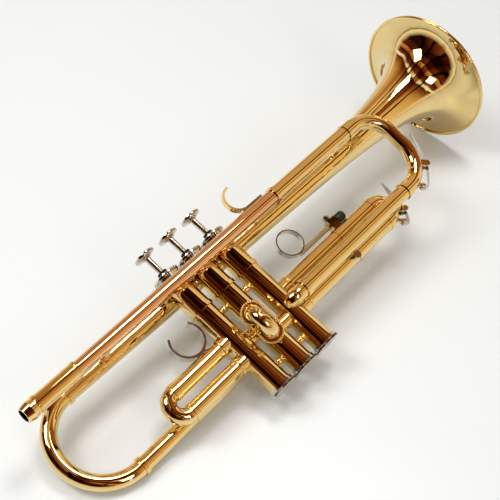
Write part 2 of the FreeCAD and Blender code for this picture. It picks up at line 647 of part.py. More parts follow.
def bell_tail_shape(radius):
    """From the bow's lower end forward, then round into the first valve's left side."""
    tail_y, tail_z = TAIL
    turn_start = f"{valve_x(1)} - tail_turn"
    centre = (turn_start, tail_y, f"{tail_z} + tail_turn")
    sweep = Rotation(Vector(1, 0, 0), 90)
    return fuse(
        rod(radius, f"{turn_start} + bow_reach", ("-bow_reach", tail_y, tail_z), ALONG_X),
        ring("tail_turn", radius, centre, sweep.multiply(Rotation(Vector(0, 0, 1), -90)), "90"),
        rod(radius, "4", (valve_x(1), tail_y, f"{tail_z} + tail_turn"), ALONG_Z))


def bell_back():
    wall = f"{BOW} - tail_wall"
    node("bell_bow", cut(bell_bow_shape(BOW), bell_bow_shape(wall)))
    knuckle = rod(KNUCKLE, "casing_radius + knuckle_length + 1", on_axis(1, "lower_port"), BACK_X)
    node("bell_tail", cut(bell_tail_shape("tail_radius"), bell_tail_shape("tail_radius - tail_wall"),
                          casing_core(1), knuckle))


def joint_rings(shell):
    """The collar on the leadpipe and the rings over the bell's soldered joints."""
    tail_y, tail_z = TAIL
    collar = cut(rod("collar_radius", "collar_length", pipe_at("pipe_reach - collar_length"), ALONG_X),
                 rod("pipe_end_radius", "collar_length + 2", pipe_at("pipe_reach - collar_length - 1"), ALONG_X))
    stem = cut(rod("collar_radius", "collar_length", ("-bow_reach", "-bell_drop", "-bell_side"), ALONG_X),
               rod(f"{BOW} - 0.1", "collar_length + 2", ("-bow_reach - 1", "-bell_drop", "-bell_side"), ALONG_X))
    low = cut(rod("collar_radius", "collar_length", ("-bow_reach", tail_y, tail_z), ALONG_X),
              rod("tail_radius", "collar_length + 2", ("-bow_reach - 1", tail_y, tail_z), ALONG_X))
    sleeve = cut(rod("tail_radius + sleeve_step", "tail_sleeve_start - tail_sleeve_end",
                     ("-tail_sleeve_start", tail_y, tail_z), ALONG_X),
                 rod("tail_radius", "tail_sleeve_start", ("-tail_sleeve_start - 1", tail_y, tail_z), ALONG_X))
    node("joint_rings", group(collar, cut(stem, shell), low, sleeve))


# ---------------------------------------------------------------- valve slides

def sleeve_pair(number, start, reach, along, offset="0"):
    """Two fixed sleeves from a casing's wall, each with its knuckle ring."""
    pair = []
    for drop in ("upper_port", "lower_port"):
        x, y, z = on_axis(number, drop)
        back = along.multVec(Vector(0, 0, 1))
        bead = [f"{text} + ({start}) * {round(step)}" for text, step in zip((x, y, offset), back)]
        body = fuse(rod(SLEEVE, reach, (x, y, offset), along),
                    rod(KNUCKLE, start, (x, y, offset), along),
                    ring(f"{KNUCKLE} - knuckle_bead / 2", "knuckle_bead", bead, along))
        pair.append(cut(body, rod(SLEEVE_BORE, f"({reach}) + 1", (x, y, offset), along), casing_core(number)))
    return group(*pair)


def slide_bow(x, along_turn, offset="0"):
    """A half-ring bow from the upper to the lower leg."""
    turn = "(lower_port - upper_port) / 2"
    place = (x, "-(lower_port + upper_port) / 2", offset)
    return cut(ring(turn, BOW, place, along_turn, "180"), ring(turn, "leg_bore", place, along_turn, "180"))


def ferrule_pair(x, length, along, offset="0", bore="leg_radius"):
    pair = []
    for drop in ("upper_port", "lower_port"):
        place = (x, f"-{drop}", offset)
        body = rod(FERRULE, length, place, along)
        pair.append(cut(body, rod(bore, length, place, along)))
    return group(*pair)


def leg_pair(x, length, along, offset="0"):
    return group(*[tube("leg_radius", "leg_bore", length, (x, f"-{drop}", offset), along)
                   for drop in ("upper_port", "lower_port")])


def first_slide():
    knuckle = "casing_radius + knuckle_length"
    node("first_outer_sleeves", sleeve_pair(1, knuckle, f"{valve_x(1)} + first_reach", BACK_X))
    node("first_slide_legs", leg_pair("-first_reach - ferrule_length", "first_insert + ferrule_length", ALONG_X))
    node("first_slide_ferrules", ferrule_pair("-first_reach - ferrule_length", "ferrule_length - slide_gap", ALONG_X))
    node("first_slide_bow", slide_bow("-first_reach - ferrule_length", Rotation(Vector(0, 0, 1), 90)))


def second_slide():
    """Built straight out to the right, then turned about the middle valve towards the player."""
    own = Placement(Vector(), Rotation(Vector(0, 1, 0), -size["second_turn"]))
    sleeves = sleeve_pair(2, "casing_radius + knuckle_length", "second_reach", ALONG_Z)
    node("second_outer_sleeves", sleeves, own)
    start = "second_reach - second_insert"
    legs = group(*[tube("leg_radius", "leg_bore", "second_insert + ferrule_length", ("0", f"-{drop}", start), ALONG_Z)
                   for drop in ("upper_port", "lower_port")])
    node("second_slide_legs", legs, own)
    ferrules = group(*[cut(fuse(rod(FERRULE, "ferrule_length - slide_gap",
                                    ("0", f"-{drop}", "second_reach + slide_gap"), ALONG_Z),
                                rod(BEAD, "1.6", ("0", f"-{drop}", "second_reach + slide_gap"), ALONG_Z)),
                           rod("leg_radius", "ferrule_length", ("0", f"-{drop}", "second_reach"), ALONG_Z))
                       for drop in ("upper_port", "lower_port")])
    node("second_slide_ferrules", ferrules, own)
    turn = "(lower_port - upper_port) / 2"
    place = ("0", "-(lower_port + upper_port) / 2", "second_reach + ferrule_length")
    arch = Rotation(Vector(0, 1, 0), 90).multiply(Rotation(Vector(0, 0, 1), 90))
    bow = cut(ring(turn, BOW, place, arch, "180"), ring(turn, "leg_bore", place, arch, "180"))
    node("second_slide_bow", bow, own)


def third_slide():
    side = "-third_side"
    knuckle = "casing_radius + knuckle_length + 3"
    node("third_outer_sleeves", sleeve_pair(3, knuckle, f"third_reach - ({valve_x(3)})", ALONG_X, side))
    end = "third_reach + third_sleeve"
    node("third_slide_legs", leg_pair("third_reach - third_insert", "third_insert + third_sleeve", ALONG_X, side))
    moving = []
    for drop in ("upper_port", "lower_port"):
        body = fuse(rod(SLEEVE, "third_sleeve - slide_gap", ("third_reach + slide_gap", f"-{drop}", side), ALONG_X),
                    rod(FERRULE, "1.5", ("third_reach + slide_gap", f"-{drop}", side), ALONG_X),
                    rod(FERRULE, "ferrule_length", (f"{end} - ferrule_length", f"-{drop}", side), ALONG_X))
        moving.append(cut(body, rod("leg_radius", "third_sleeve + 1", ("third_reach", f"-{drop}", side), ALONG_X)))
    node("third_slide_sleeves", group(*moving))
    node("third_slide_bow", slide_bow(end, Rotation(Vector(0, 0, 1), -90), side))


def slide_stop():
    """A nickel stop screw on the third slide's lower sleeve, at the end of the fixed part."""
    x, y = "third_reach - 4", "-lower_port - 2.5"
    body = fuse(rod("2.4", "6", (x, y, "-third_side + 3"), ALONG_Z),
                rod("3.2", "1.6", (x, y, "-third_side + 9"), ALONG_Z))
    sleeve = rod(SLEEVE, "40", ("third_reach - 24", "-lower_port", "-third_side"), ALONG_X)
    node("slide_stop_screw", cut(body, sleeve))


# ---------------------------------------------------------------- hooks, ring and braces

def band(radius, thickness, width, centre):
    """A flat band bent to a full ring in the playing plane, centred on a point."""
    x, y, z = centre
    low = (x, y, f"{z} - ({width}) / 2")
    return cut(rod(radius, width, low),
               rod(f"{radius} - {thickness}", f"({width}) + 2", (x, y, f"{z} - ({width}) / 2 - 1")))


def wedge(radius, width, centre, sweep, start):
    """A slice of a disc, for opening a band."""
    x, y, z = centre
    slice_ = primitive("Cylinder", (x, y, f"{z} - ({width}) / 2"), Rotation(Vector(0, 0, 1), start),
                       Radius=radius, Height=width, Angle=sweep)
    return slice_


def thumb_hook():
    """An open nickel hook on the first slide's upper sleeve."""
    centre = ("-valve_gap - hook_place", f"{SLEEVE} + hook_radius - upper_port - 0.1", "0")
    hoop = band("hook_radius", "hook_band", "hook_width", centre)
    gap = wedge("hook_radius + 1", "hook_width + 2", centre, "hook_open", 90 - size["hook_open"] / 2)
    foot = block("10", "3", "hook_width",
                 ("-valve_gap - hook_place - 5", f"{SLEEVE} - upper_port - 1.6", "-hook_width / 2"))
    inside = rod("hook_radius - hook_band", "hook_width + 2", (centre[0], centre[1], "-hook_width / 2 - 1"))
    leg = rod(SLEEVE, "40", ("-valve_gap - hook_place - 20", "-upper_port", "0"), ALONG_X)
    node("thumb_hook", cut(fuse(cut(hoop, gap), foot), inside, leg))


def finger_hook():
    """An open brass hook for the little finger, on a foot that follows the leadpipe."""
    centre = ("pinky_place", "pipe_height + pipe_end_radius + pinky_radius - 0.4", "pipe_side")
    hoop = band("pinky_radius", "pinky_band", "pinky_width", centre)
    gap = wedge("pinky_radius + 1", "pinky_width + 2", centre, "176", -86)
    foot = block("pinky_foot", "2.6", "pinky_width",
                 ("pinky_place - 6", "pipe_height + pipe_end_radius - 1.2", "pipe_side - pinky_width / 2"))
    inside = rod("pinky_radius - pinky_band", "pinky_width + 2",
                 (centre[0], centre[1], "pipe_side - pinky_width / 2 - 1"))
    node("finger_hook", cut(fuse(cut(hoop, gap), foot), inside, pipe_core()))


def pipe_core():
    """The leadpipe as a filled cone."""
    return cone("pipe_radius", "pipe_end_radius", "pipe_reach + mouth_reach - receiver_length",
                pipe_at("-mouth_reach + receiver_length"), ALONG_X)


def finger_ring():
    """The ring, on a rod that slides through its clamp block, with the knob that ends the rod."""
    side = "-third_side"
    centre = ("ring_place", "-ring_height + ring_radius", side)
    start = ("ring_place", "-ring_height", side)
    end = "clamp_place + clamp_size / 2 + 1 + knob_length"
    hoop = band("ring_radius", "ring_band", "ring_width", centre)
    stalk = rod("rod_radius", f"{end} - 1.5 - ring_place", start, ALONG_X)
    inside = rod("ring_radius - ring_band", "ring_width + 2",
                 ("ring_place", "-ring_height + ring_radius", f"{side} - ring_width / 2 - 1"))
    node("finger_ring", cut(fuse(hoop, stalk), inside))
    knob = cut(rod("knob_radius", "knob_length", ("clamp_place + clamp_size / 2 + 1", "-ring_height", side), ALONG_X),
               rod("rod_radius", "knob_length - 0.5", ("clamp_place + clamp_size / 2", "-ring_height", side), ALONG_X))
    node("rod_knob", knob)


def ring_clamp():
    side = "-third_side"
    corner = ("clamp_place - clamp_size / 2", "-ring_height - clamp_size / 2 - 1", f"{side} - clamp_size / 2")
    body = block("clamp_size", "clamp_size + 1", "clamp_size", corner)
    way = rod("rod_radius + piston_gap", "clamp_size + 2",
              ("clamp_place - clamp_size / 2 - 1", "-ring_height", side), ALONG_X)
    screw_way = rod("screw_radius", "clamp_size", ("clamp_place", "-ring_height + rod_radius", side), ALONG_Y)
    sleeve = rod(SLEEVE, "third_sleeve", ("third_reach", "-upper_port", side), ALONG_X)
    node("ring_clamp", cut(body, way, screw_way, sleeve))
    top = "-ring_height + clamp_size / 2"
    screw = fuse(rod("screw_radius", "clamp_size / 2 - rod_radius + 1 - 0.1",
                     ("clamp_place", "-ring_height + rod_radius + 0.1", side), ALONG_Y),
                 rod("screw_head", "3.4", ("clamp_place", top, side), ALONG_Y),
                 rod("screw_head - 1.0", "4.8", ("clamp_place", top, side), ALONG_Y))
    node("clamp_screw", screw)


def brace(x, bell_radius_there, pipe_radius_there):
    """A turned rod between the leadpipe and the bell's stem, with a round foot on each."""
    foot = "2.2"
    start = (x, "0", "-bell_side")
    gap_low = f"-bell_side + {bell_radius_there}"
    gap_high = f"pipe_side - ({pipe_radius_there})"
    middle = f"(({gap_low}) + ({gap_high})) / 2"
    return fuse(
        rod("brace_radius", "pipe_side + bell_side", start, ALONG_Z),
        rod("brace_foot", f"{foot} + 2", (x, "0", f"{gap_low} - 2"), ALONG_Z),
        rod("brace_foot", f"{foot} + 2", (x, "0", f"{gap_high} - {foot}"), ALONG_Z),
        ball("brace_radius + 1.3", (x, "0", middle)))


def body_braces(core):
    """The two braces that hold the leadpipe and the bell's stem apart."""
    rear = round(flare(size["bell_reach"] + size["brace_rear"]), 3)
    front = round(flare(size["bell_reach"] - size["brace_front"]), 3)
    sleeve = rod(SLEEVE, "main_reach - pipe_reach", pipe_at("pipe_reach"), ALONG_X)
    node("body_braces", group(
        cut(brace("-brace_rear", rear, "pipe_radius"), core, pipe_core()),
        cut(brace("brace_front", front, SLEEVE), core, sleeve)))


# ---------------------------------------------------------------- water keys

def polar(centre, reach, angle):
    """A point this far from a bow's centre, measured from straight ahead."""
    turn = math.radians(angle)
    return centre[0] + reach * math.cos(turn), centre[1] + reach * math.sin(turn)


def plate(start, end, width, thick):
    """A flat plate between two points of the bow's plane, lying across it."""
    length = math.dist(start, end)
    angle = math.atan2(end[1] - start[1], end[0] - start[0])
    item = block(str(round(length, 4)), thick, width)
    half = size["key_plate"] / 2
    corner = Vector(start[0] + half * math.sin(angle), start[1] - half * math.cos(angle), -size["key_width"] * 0.35)
    item.Placement = Placement(corner, Rotation(Vector(0, 0, 1), math.degrees(angle)))
    return item


def spoke(radius, length, centre, reach, angle):
    """A cylinder standing radially on a bow."""
    x, y = polar(centre, reach, angle)
    item = rod(radius, length)
    item.Placement = Placement(Vector(x, y, 0), Rotation(Vector(0, 0, 1), Vector(math.cos(math.radians(angle)),
                                                                              math.sin(math.radians(angle)), 0)))
    return item


def water_key(name, centre, turn, angles, stand, tip_stand, seated):
    """A lever on a pin between two ears, holding its cork on a nipple of the bow.

    centre and turn are the bow's; angles are those of the cork, the pin and the finger end; stand is the
    height of the nipple's end and tip_stand that of the finger end above the bow; seated puts a piece into the
    slide's own lean.
    """
    cork_angle, pin_angle, tip_angle = angles
    surface = turn + size["leg_radius"] + size["bow_step"]
    pin_reach = surface + stand + 2.3
    cup_reach = surface + stand + size["cork_height"]
    pin = polar(centre, pin_reach, pin_angle)
    cup = polar(centre, cup_reach + size["cup_height"] / 2, cork_angle)
    tip = polar(centre, surface + tip_stand, tip_angle)
    wide = "key_width"
    at_pin = (str(pin[0]), str(pin[1]), "-key_width / 2")

    nipple = spoke("cork_radius - 0.9", f"{stand} + 1.5", centre, surface - 1.5, cork_angle)
    ears = []
    for low in ("key_width / 2 + key_side_play", "-key_width / 2 - key_side_play - key_ear"):
        ear = block(f"{pin_reach - turn - 2.5}", "5", "key_ear")
        foot = polar(centre, turn + 2.5, pin_angle)
        slope = math.radians(pin_angle)
        ear.Placement = Placement(Vector(foot[0] + 2.5 * math.sin(slope), foot[1] - 2.5 * math.cos(slope), 0),
                                  Rotation(Vector(0, 0, 1), pin_angle))
        ear.setExpression("Placement.Base.z", link(low))
        ears.append(fuse(ear, rod("2.5", "key_ear", (at_pin[0], at_pin[1], low))))
    bow = ring(str(turn), BOW, (str(centre[0]), str(centre[1]), "0"))
    long_pin = rod("key_pin", "key_width + 2 * key_side_play + 2 * key_ear",
                   (at_pin[0], at_pin[1], "-key_width / 2 - key_side_play - key_ear"))
    node(f"{name}_saddle", group(seated(group(cut(nipple, bow), *[cut(ear, bow, long_pin) for ear in ears]))))
    node(f"{name}_pin", group(seated(long_pin)))

    lever = fuse(rod("key_knuckle", wide, at_pin), plate(pin, cup, "key_width * 0.7", "key_plate"),
                 plate(pin, tip, "key_width * 0.7", "key_plate"),
                 spoke("cup_radius", "cup_height", centre, cup_reach, cork_angle),
                 spoke("key_width * 0.75", "key_plate", centre, surface + tip_stand - size["key_plate"] / 2, tip_angle))
    hole = rod("key_pin + piston_gap", "key_width + 2", (at_pin[0], at_pin[1], "-key_width / 2 - 1"))
    seat = spoke("cork_radius", "cup_height - 0.9 + 3", centre, cup_reach - 3, cork_angle)
    node(f"{name}_lever", group(seated(cut(lever, hole, seat))))
    cork = spoke("cork_radius", "cork_height + cup_height - 0.9", centre, surface + stand, cork_angle)
    node(f"{name}_cork", group(seated(cork)))


def water_keys():
    far = size["main_reach"] + size["main_ferrule"] + size["main_top_turn"]
    fall = math.hypot(size["main_drop"], size["main_lean"])
    low_turn = size["main_low_turn"]
    water_key("main_key", (far - low_turn, low_turn - fall), low_turn, (-73, -40, -2), 1.4, 6.3, leaned)
    end = size["third_reach"] + size["third_sleeve"]
    middle = -(size["upper_port"] + size["lower_port"]) / 2
    water_key("third_key", (end, middle), (size["lower_port"] - size["upper_port"]) / 2, (-64, -33, 27), 3.2, 12.5,
              lambda item: put(group(item), ("0", "0", "-third_side"), Rotation()))


# ---------------------------------------------------------------- laying the trumpet down

RESTING = ("bell_rim_wire", "bell_bow", "bottom_caps", "top_caps", "main_slide_bow", "main_key_lever",
           "third_slide_bow", "bell_tail", "finger_button_1", "finger_button_3")


def whole_mass():
    """The trumpet's centre of mass, every piece taken as brass."""
    total, moment = 0.0, Vector()
    for item, own in parts.values():
        for solid in item.Shape.Solids:
            total += solid.Volume
            moment += own.multVec(solid.CenterOfMass) * solid.Volume
    return moment / total


def lean_of(pitch, roll):
    """Pitch about Y lifts or lowers the bell; roll about X lifts or lowers the valves' caps."""
    return Rotation(Vector(1, 0, 0), roll).multiply(Rotation(Vector(0, 1, 0), pitch))


def lying():
    """The pose on the left side with the centre of mass lowest over the surface, for the pieces in RESTING.

    The joint rings aren't among them and reach 0.6 mm lower, so the trumpet stands on a ring.
    """
    points = [own.multVec(point) for name in RESTING for item, own in (parts[name],)
              for point in item.Shape.tessellate(0.4)[0]]
    mass = whole_mass()

    def height(pitch, roll):
        down = lean_of(pitch, roll).inverted().multVec(Vector(0, 0, -1))
        return max(down.dot(point) for point in points) - down.dot(mass)

    best, step = (height(7, 15), 7.0, 15.0), 4.0
    while step > 0.001:
        pitch, roll = best[1:]
        trial = min((height(pitch + step * i, roll + step * j), pitch + step * i, roll + step * j)
                    for i in (-1, 0, 1) for j in (-1, 0, 1))
        if trial[0] < best[0] - 1e-9:
            best = trial
        else:
            step /= 2
    return Placement(Vector(), lean_of(*best[1:]))


def lay_down():
    """Give every piece the lying placement, then centre the whole over the frame's origin."""
    lie = lying()
    for item, own in parts.values():
        item.Placement = lie.multiply(own)
    doc.recompute()
    boxes = [item.Shape.optimalBoundingBox(False, False) for item, own in parts.values()]
    middle = [(min(getattr(box, axis + "Min") for box in boxes) +
               max(getattr(box, axis + "Max") for box in boxes)) / 2 for axis in "XY"]
    shift = Placement(Vector(-middle[0], -middle[1], -min(box.ZMin for box in boxes)), Rotation())
    for item, own in parts.values():
        item.Placement = shift.multiply(lie).multiply(own)
    doc.recompute()
    return shift.multiply(lie)


def check():
    for item in doc.Objects:
        if "Invalid" in item.State or "Error" in item.State:
            raise SystemExit(f"{item.Name} ({item.Label}) has state {item.State}")
    for label, (item, own) in parts.items():
        if item.Shape.isNull() or not item.Shape.isValid() or not item.Shape.Solids:
            raise SystemExit(f"{label} has no valid solid")


valves()
valve_links()
mouthpiece_receiver()
leadpipe()
main_sleeves()
main_elbow()
main_slide()
bell_shell = bell()
bell_back()
joint_rings(bell_shell)
body_braces(bell_core())
first_slide()
second_slide()
third_slide()
slide_stop()
thumb_hook()
finger_hook()
finger_ring()
ring_clamp()
water_keys()
doc.recompute()
check()
laid = lay_down()
check()

os.makedirs("parts", exist_ok=True)
for label, (item, own) in parts.items():
    item.Shape.exportStep(f"parts/{label}.step")
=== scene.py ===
import json
import math

import bmesh
import bpy
from mathutils import Matrix, Vector
from mathutils.geometry import interpolate_bezier


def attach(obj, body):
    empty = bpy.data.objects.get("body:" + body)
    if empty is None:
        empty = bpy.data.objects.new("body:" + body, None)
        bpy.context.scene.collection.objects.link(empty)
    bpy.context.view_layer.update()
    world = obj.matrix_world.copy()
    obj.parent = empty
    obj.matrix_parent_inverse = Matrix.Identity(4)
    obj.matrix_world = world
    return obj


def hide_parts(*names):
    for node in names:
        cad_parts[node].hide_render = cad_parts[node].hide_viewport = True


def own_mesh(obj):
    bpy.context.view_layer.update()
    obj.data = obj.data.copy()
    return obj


# A three-valve trumpet in gold-lacquered brass and nickel plate, lying on its left side on a pale table.

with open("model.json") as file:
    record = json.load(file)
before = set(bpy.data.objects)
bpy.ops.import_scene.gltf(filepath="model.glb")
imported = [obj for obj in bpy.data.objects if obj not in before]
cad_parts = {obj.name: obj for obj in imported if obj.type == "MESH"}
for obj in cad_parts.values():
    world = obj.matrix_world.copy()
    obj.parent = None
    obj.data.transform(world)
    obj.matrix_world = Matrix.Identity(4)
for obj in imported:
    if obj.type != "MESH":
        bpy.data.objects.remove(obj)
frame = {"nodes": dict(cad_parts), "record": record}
nodes, record = frame["nodes"], frame["record"]
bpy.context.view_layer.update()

# ---------------------------------------------------------------- the trumpet's own playing frame

MM = 0.001
joint_axis = {joint["name"]: Vector(joint["axis"]).normalized() for joint in record["behaviour"]["joints"]}
socket = next(mount for mount in record["mounts"] if mount["name"] == "mouthpiece_socket")
SOCKET_MM = Vector((-177.8, 1.0, 16.8))  # the mouthpiece socket's place in the playing frame


def playing_frame():
    """Takes millimetres in the playing frame to the row frame.

    The playing frame has +X to the bell, +Y to the buttons and +Z to the player's right.
    """
    ahead = joint_axis["main_slide_pull"]
    up = -joint_axis["valve_2_press"]
    turn = Matrix((ahead, up, ahead.cross(up))).transposed()
    shift = Vector(socket["pos_m"]) - turn @ (SOCKET_MM * MM)
    return Matrix.Translation(shift) @ turn.to_4x4() @ Matrix.Scale(MM, 4)


PLAY = playing_frame()


# ---------------------------------------------------------------- materials

def linear(code):
    """An sRGB hex colour as the linear RGBA a shader takes."""
    values = [int(code[i:i + 2], 16) / 255 for i in (1, 3, 5)]
    return [v / 12.92 if v <= 0.04045 else ((v + 0.055) / 1.055) ** 2.4 for v in values] + [1]


def new_material(name):
    material = bpy.data.materials.new(name)
    material.use_nodes = True
    return material, material.node_tree, material.node_tree.nodes["Principled BSDF"]


def add(tree, kind, links=(), **settings):
    """Add a node; settings are its properties or its inputs' values, links are (input, socket) pairs."""
    item = tree.nodes.new("ShaderNode" + kind)
    for key, value in settings.items():
        if hasattr(item, key):
            setattr(item, key, value)
        else:
            item.inputs[key.replace("_", " ")].default_value = value
    for key, source in links:
        tree.links.new(source, item.inputs[key])
    return item


def ramp(tree, source, stops):
    """A colour ramp through (position, hex colour) stops; gives its colour socket."""
    item = add(tree, "ValToRGB", [("Fac", source)])
    while len(item.color_ramp.elements) < len(stops):
        item.color_ramp.elements.new(0.5)
    for element, (position, code) in zip(item.color_ramp.elements, stops):
        element.position, element.color = position, linear(code)
    return item.outputs["Color"]


def noise(tree, scale, detail):
    """Cloudy noise fixed to the object; gives its factor socket."""
    place = add(tree, "TexCoord")
    return add(tree, "TexNoise", [("Vector", place.outputs["Object"])], Scale=scale, Detail=detail).outputs["Fac"]


def feed(tree, shader, links, **values):
    """Link sockets to some of the shader's inputs and set the values of others."""
    for key, source in links:
        tree.links.new(source, shader.inputs[key])
    for key, value in values.items():
        shader.inputs[key.replace("_", " ")].default_value = value


def lacquered_brass(name, low, high):
    """Brass buffed to a mirror and sprayed with clear lacquer: sharp reflections, faint polishing
    waves and a slightly cloudy gloss where it is handled."""
    material, tree, shader = new_material(name)
    cloud = noise(tree, 28.0, 3.0)
    haze = add(tree, "MapRange", [("Value", cloud)], To_Min=0.02, To_Max=0.05)
    waves = add(tree, "Bump", [("Height", noise(tree, 90.0, 2.0))], Strength=0.02, Distance=0.001)
    feed(tree, shader, [("Base Color", ramp(tree, cloud, ((0.3, low), (0.7, high)))),
                        ("Roughness", haze.outputs["Result"]), ("Normal", waves.outputs["Normal"])],
         Metallic=1.0, Coat_Weight=0.35, Coat_Roughness=0.03, Coat_IOR=1.5)
    return material


def nickel_plate():
    """Nickel plate over brass, buffed: a slightly warm silver mirror, a little uneven in its gloss."""
    material, tree, shader = new_material("buffed_nickel_plate")
    grain = noise(tree, 160.0, 4.0)
    gloss = add(tree, "MapRange", [("Value", grain)], To_Min=0.07, To_Max=0.15)
    feed(tree, shader, [("Base Color", ramp(tree, grain, ((0.0, "#bdbab2"), (1.0, "#d2cfc8")))),
                        ("Roughness", gloss.outputs["Result"])], Metallic=1.0)
    return material


GRAIN_DEPTH = 0.0002  # metres


def grained(name, low, high, rough, scale, metallic=0.0, strength=0.4):
    """A finish with a fine two-tone grain and the bump that goes with it."""
    material, tree, shader = new_material(name)
    grain = noise(tree, scale, 6.0)
    bump = add(tree, "Bump", [("Height", grain)], Strength=strength, Distance=GRAIN_DEPTH)
    feed(tree, shader, [("Base Color", ramp(tree, grain, ((0.35, low), (0.65, high)))),
                        ("Normal", bump.outputs["Normal"])], Roughness=rough, Metallic=metallic)
    return material


# Wool felt fibres and cork grains are about 0.3 mm and 1 mm across.
FINISHES = {
    "gold_lacquered_brass": lacquered_brass("lacquered_yellow_brass", "#e8cb88", "#eed394"),
    "nickel_plate": nickel_plate(),
    "monel_piston": grained("honed_nickel_alloy", "#a8a69e", "#bab8b1", 0.24, 900.0, 1.0, strength=0.1),
    "black_felt": grained("black_wool_felt", "#0c0b0b", "#242221", 0.95, 2500.0),
    "cork": grained("sanded_cork", "#8d6038", "#b98a5c", 0.85, 1000.0),
    "black_nylon": grained("moulded_black_nylon", "#121111", "#1c1b1b", 0.38, 1800.0, strength=0.15),
    "spring_steel": grained("drawn_spring_steel", "#8f8d88", "#a3a19b", 0.3, 1500.0, 1.0, strength=0.1),
}

for entry in record["subparts"]:
    mesh = nodes[entry["node"]].data
    mesh.materials.clear()
    mesh.materials.append(FINISHES[entry["material_slot"]])
# The leadpipe is drawn from gold brass, which holds more copper, so that it resists the player's breath.
nodes["leadpipe"].data.materials[0] = lacquered_brass("lacquered_gold_brass", "#e2b28a", "#eabf98")


# ---------------------------------------------------------------- where the CAD parts are, in the playing frame

TO_PLAY = PLAY.inverted()


def heading(joint):
    """A joint's axis in the playing frame."""
    return (TO_PLAY.to_3x3() @ joint_axis[joint]).normalized()


def box_of(name):
    """The lowest and highest corner of a CAD node's box in the playing frame, in millimetres."""
    points = [TO_PLAY @ vertex.co for vertex in nodes[name].data.vertices]
    return (Vector(min(point[i] for point in points) for i in range(3)),
            Vector(max(point[i] for point in points) for i in range(3)))


def centre_of(name):
    low, high = box_of(name)
    return (low + high) / 2


# ---------------------------------------------------------------- shaping

def piece(form, name, body, slot, stands_for=(), crease=35):
    """Take a shape drawn in the playing frame into the row frame, shade it and ride it on its body."""
    bmesh.ops.remove_doubles(form, verts=form.verts, dist=0.002)
    bmesh.ops.recalc_face_normals(form, faces=form.faces)
    form.transform(PLAY)
    mesh = bpy.data.meshes.new(name)
    form.to_mesh(mesh)
    form.free()
    for face in mesh.polygons:
        face.use_smooth = True
    mesh.set_sharp_from_angle(angle=math.radians(crease))
    mesh.materials.append(FINISHES[slot])
    item = bpy.data.objects.new(name, mesh)
    bpy.context.scene.collection.objects.link(item)
    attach(item, body)
    for node in stands_for:
        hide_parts(node)
    return item


def turned(form, outline, foot, along=(0, 1, 0), steps=96, ribbed=None, ribs=0.35):
    """Turn an outline of (radius, height) points round the line through foot; past the radius `ribbed`
    every second column of points is cut in by `ribs`, which leaves a knurled edge."""
    before = set(form.verts)
    points = [form.verts.new((radius, 0, height)) for radius, height in outline]
    edges = [form.edges.new(pair) for pair in zip(points, points[1:])]
    bmesh.ops.spin(form, geom=points + edges, axis=(0, 0, 1), cent=(0, 0, 0), angle=2 * math.pi, steps=steps,
                   use_merge=True)
    made = [vertex for vertex in form.verts if vertex not in before]
    for vertex in made:
        column = round(math.atan2(vertex.co.y, vertex.co.x) * steps / (2 * math.pi))
        radius = math.hypot(vertex.co.x, vertex.co.y)
        if ribbed and radius > ribbed and column % 2:
            vertex.co.xy *= (radius - ribs) / radius
    turn = Vector(along).to_track_quat("Z", "X").to_matrix().to_4x4()
    bmesh.ops.transform(form, matrix=Matrix.Translation(foot) @ turn, verts=made)


WIRE_SIDES = 6
COIL_STEPS = 20  # points in one turn


def wire(form, path, radius):
    """A round wire along a path of points."""
    last = None
    for index, point in enumerate(path):
        ahead = Vector(path[min(index + 1, len(path) - 1)]) - Vector(path[max(index - 1, 0)])
        place = Matrix.Translation(point) @ ahead.to_track_quat("Z", "X").to_matrix().to_4x4()
        loop = bmesh.ops.create_circle(form, cap_ends=index in (0, len(path) - 1), radius=radius,
                                       segments=WIRE_SIDES, matrix=place)["verts"]
        edges = [edge for edge in {edge for vertex in loop for edge in vertex.link_edges}
                 if all(end in loop for end in edge.verts)]
        if last:
            bmesh.ops.bridge_loops(form, edges=last + edges)
        last = edges


def coil(foot, along, radius, length, turns):
    """Points along a coil that winds up from its foot."""
    aim = Vector(along).to_track_quat("Z", "X")
    steps = turns * COIL_STEPS
    points = []
    for step in range(steps + 1):
        angle = 2 * math.pi * step / COIL_STEPS
        points.append(Vector(foot) + aim @ Vector((radius * math.cos(angle), radius * math.sin(angle),
                                                   length * step / steps)))
    return points


# ---------------------------------------------------------------- valves' caps, buttons and springs

VALVES = (1, 2, 3)
valve_places = [centre_of(f"valve_stem_{number}") for number in VALVES]
button_foot, button_top = (corner.y for corner in box_of("finger_button_2"))
cap_foot, cap_top = (corner.y for corner in box_of("top_caps"))
foot_cap_low, foot_cap_high = (corner.y for corner in box_of("bottom_caps"))
button_radius = (box_of("finger_button_2")[1].x - box_of("finger_button_2")[0].x) / 2

FLANGE = 11.6  # radius of the caps' knurled flanges
KNURL = 11.3  # the flanges are ribbed past this radius
FLANGE_RISE = 5.5  # underside of the top caps' flanges above the foot of the caps
STEM = 2.5  # radius of the valve stems
STEM_HOLE = 3.2  # radius of the hole in a top cap
THREAD_TOP, THREAD_FOOT = 9.8, 9.2  # inner radii of the top and bottom caps' skirts
VENT = 2.0  # radius of the bottom caps' vents
CASING_TOP = 8.5  # of the casings above the bell axis
SPRING_WIRE = 0.45  # radius of a valve spring's wire
SPRING_TURNS = 7


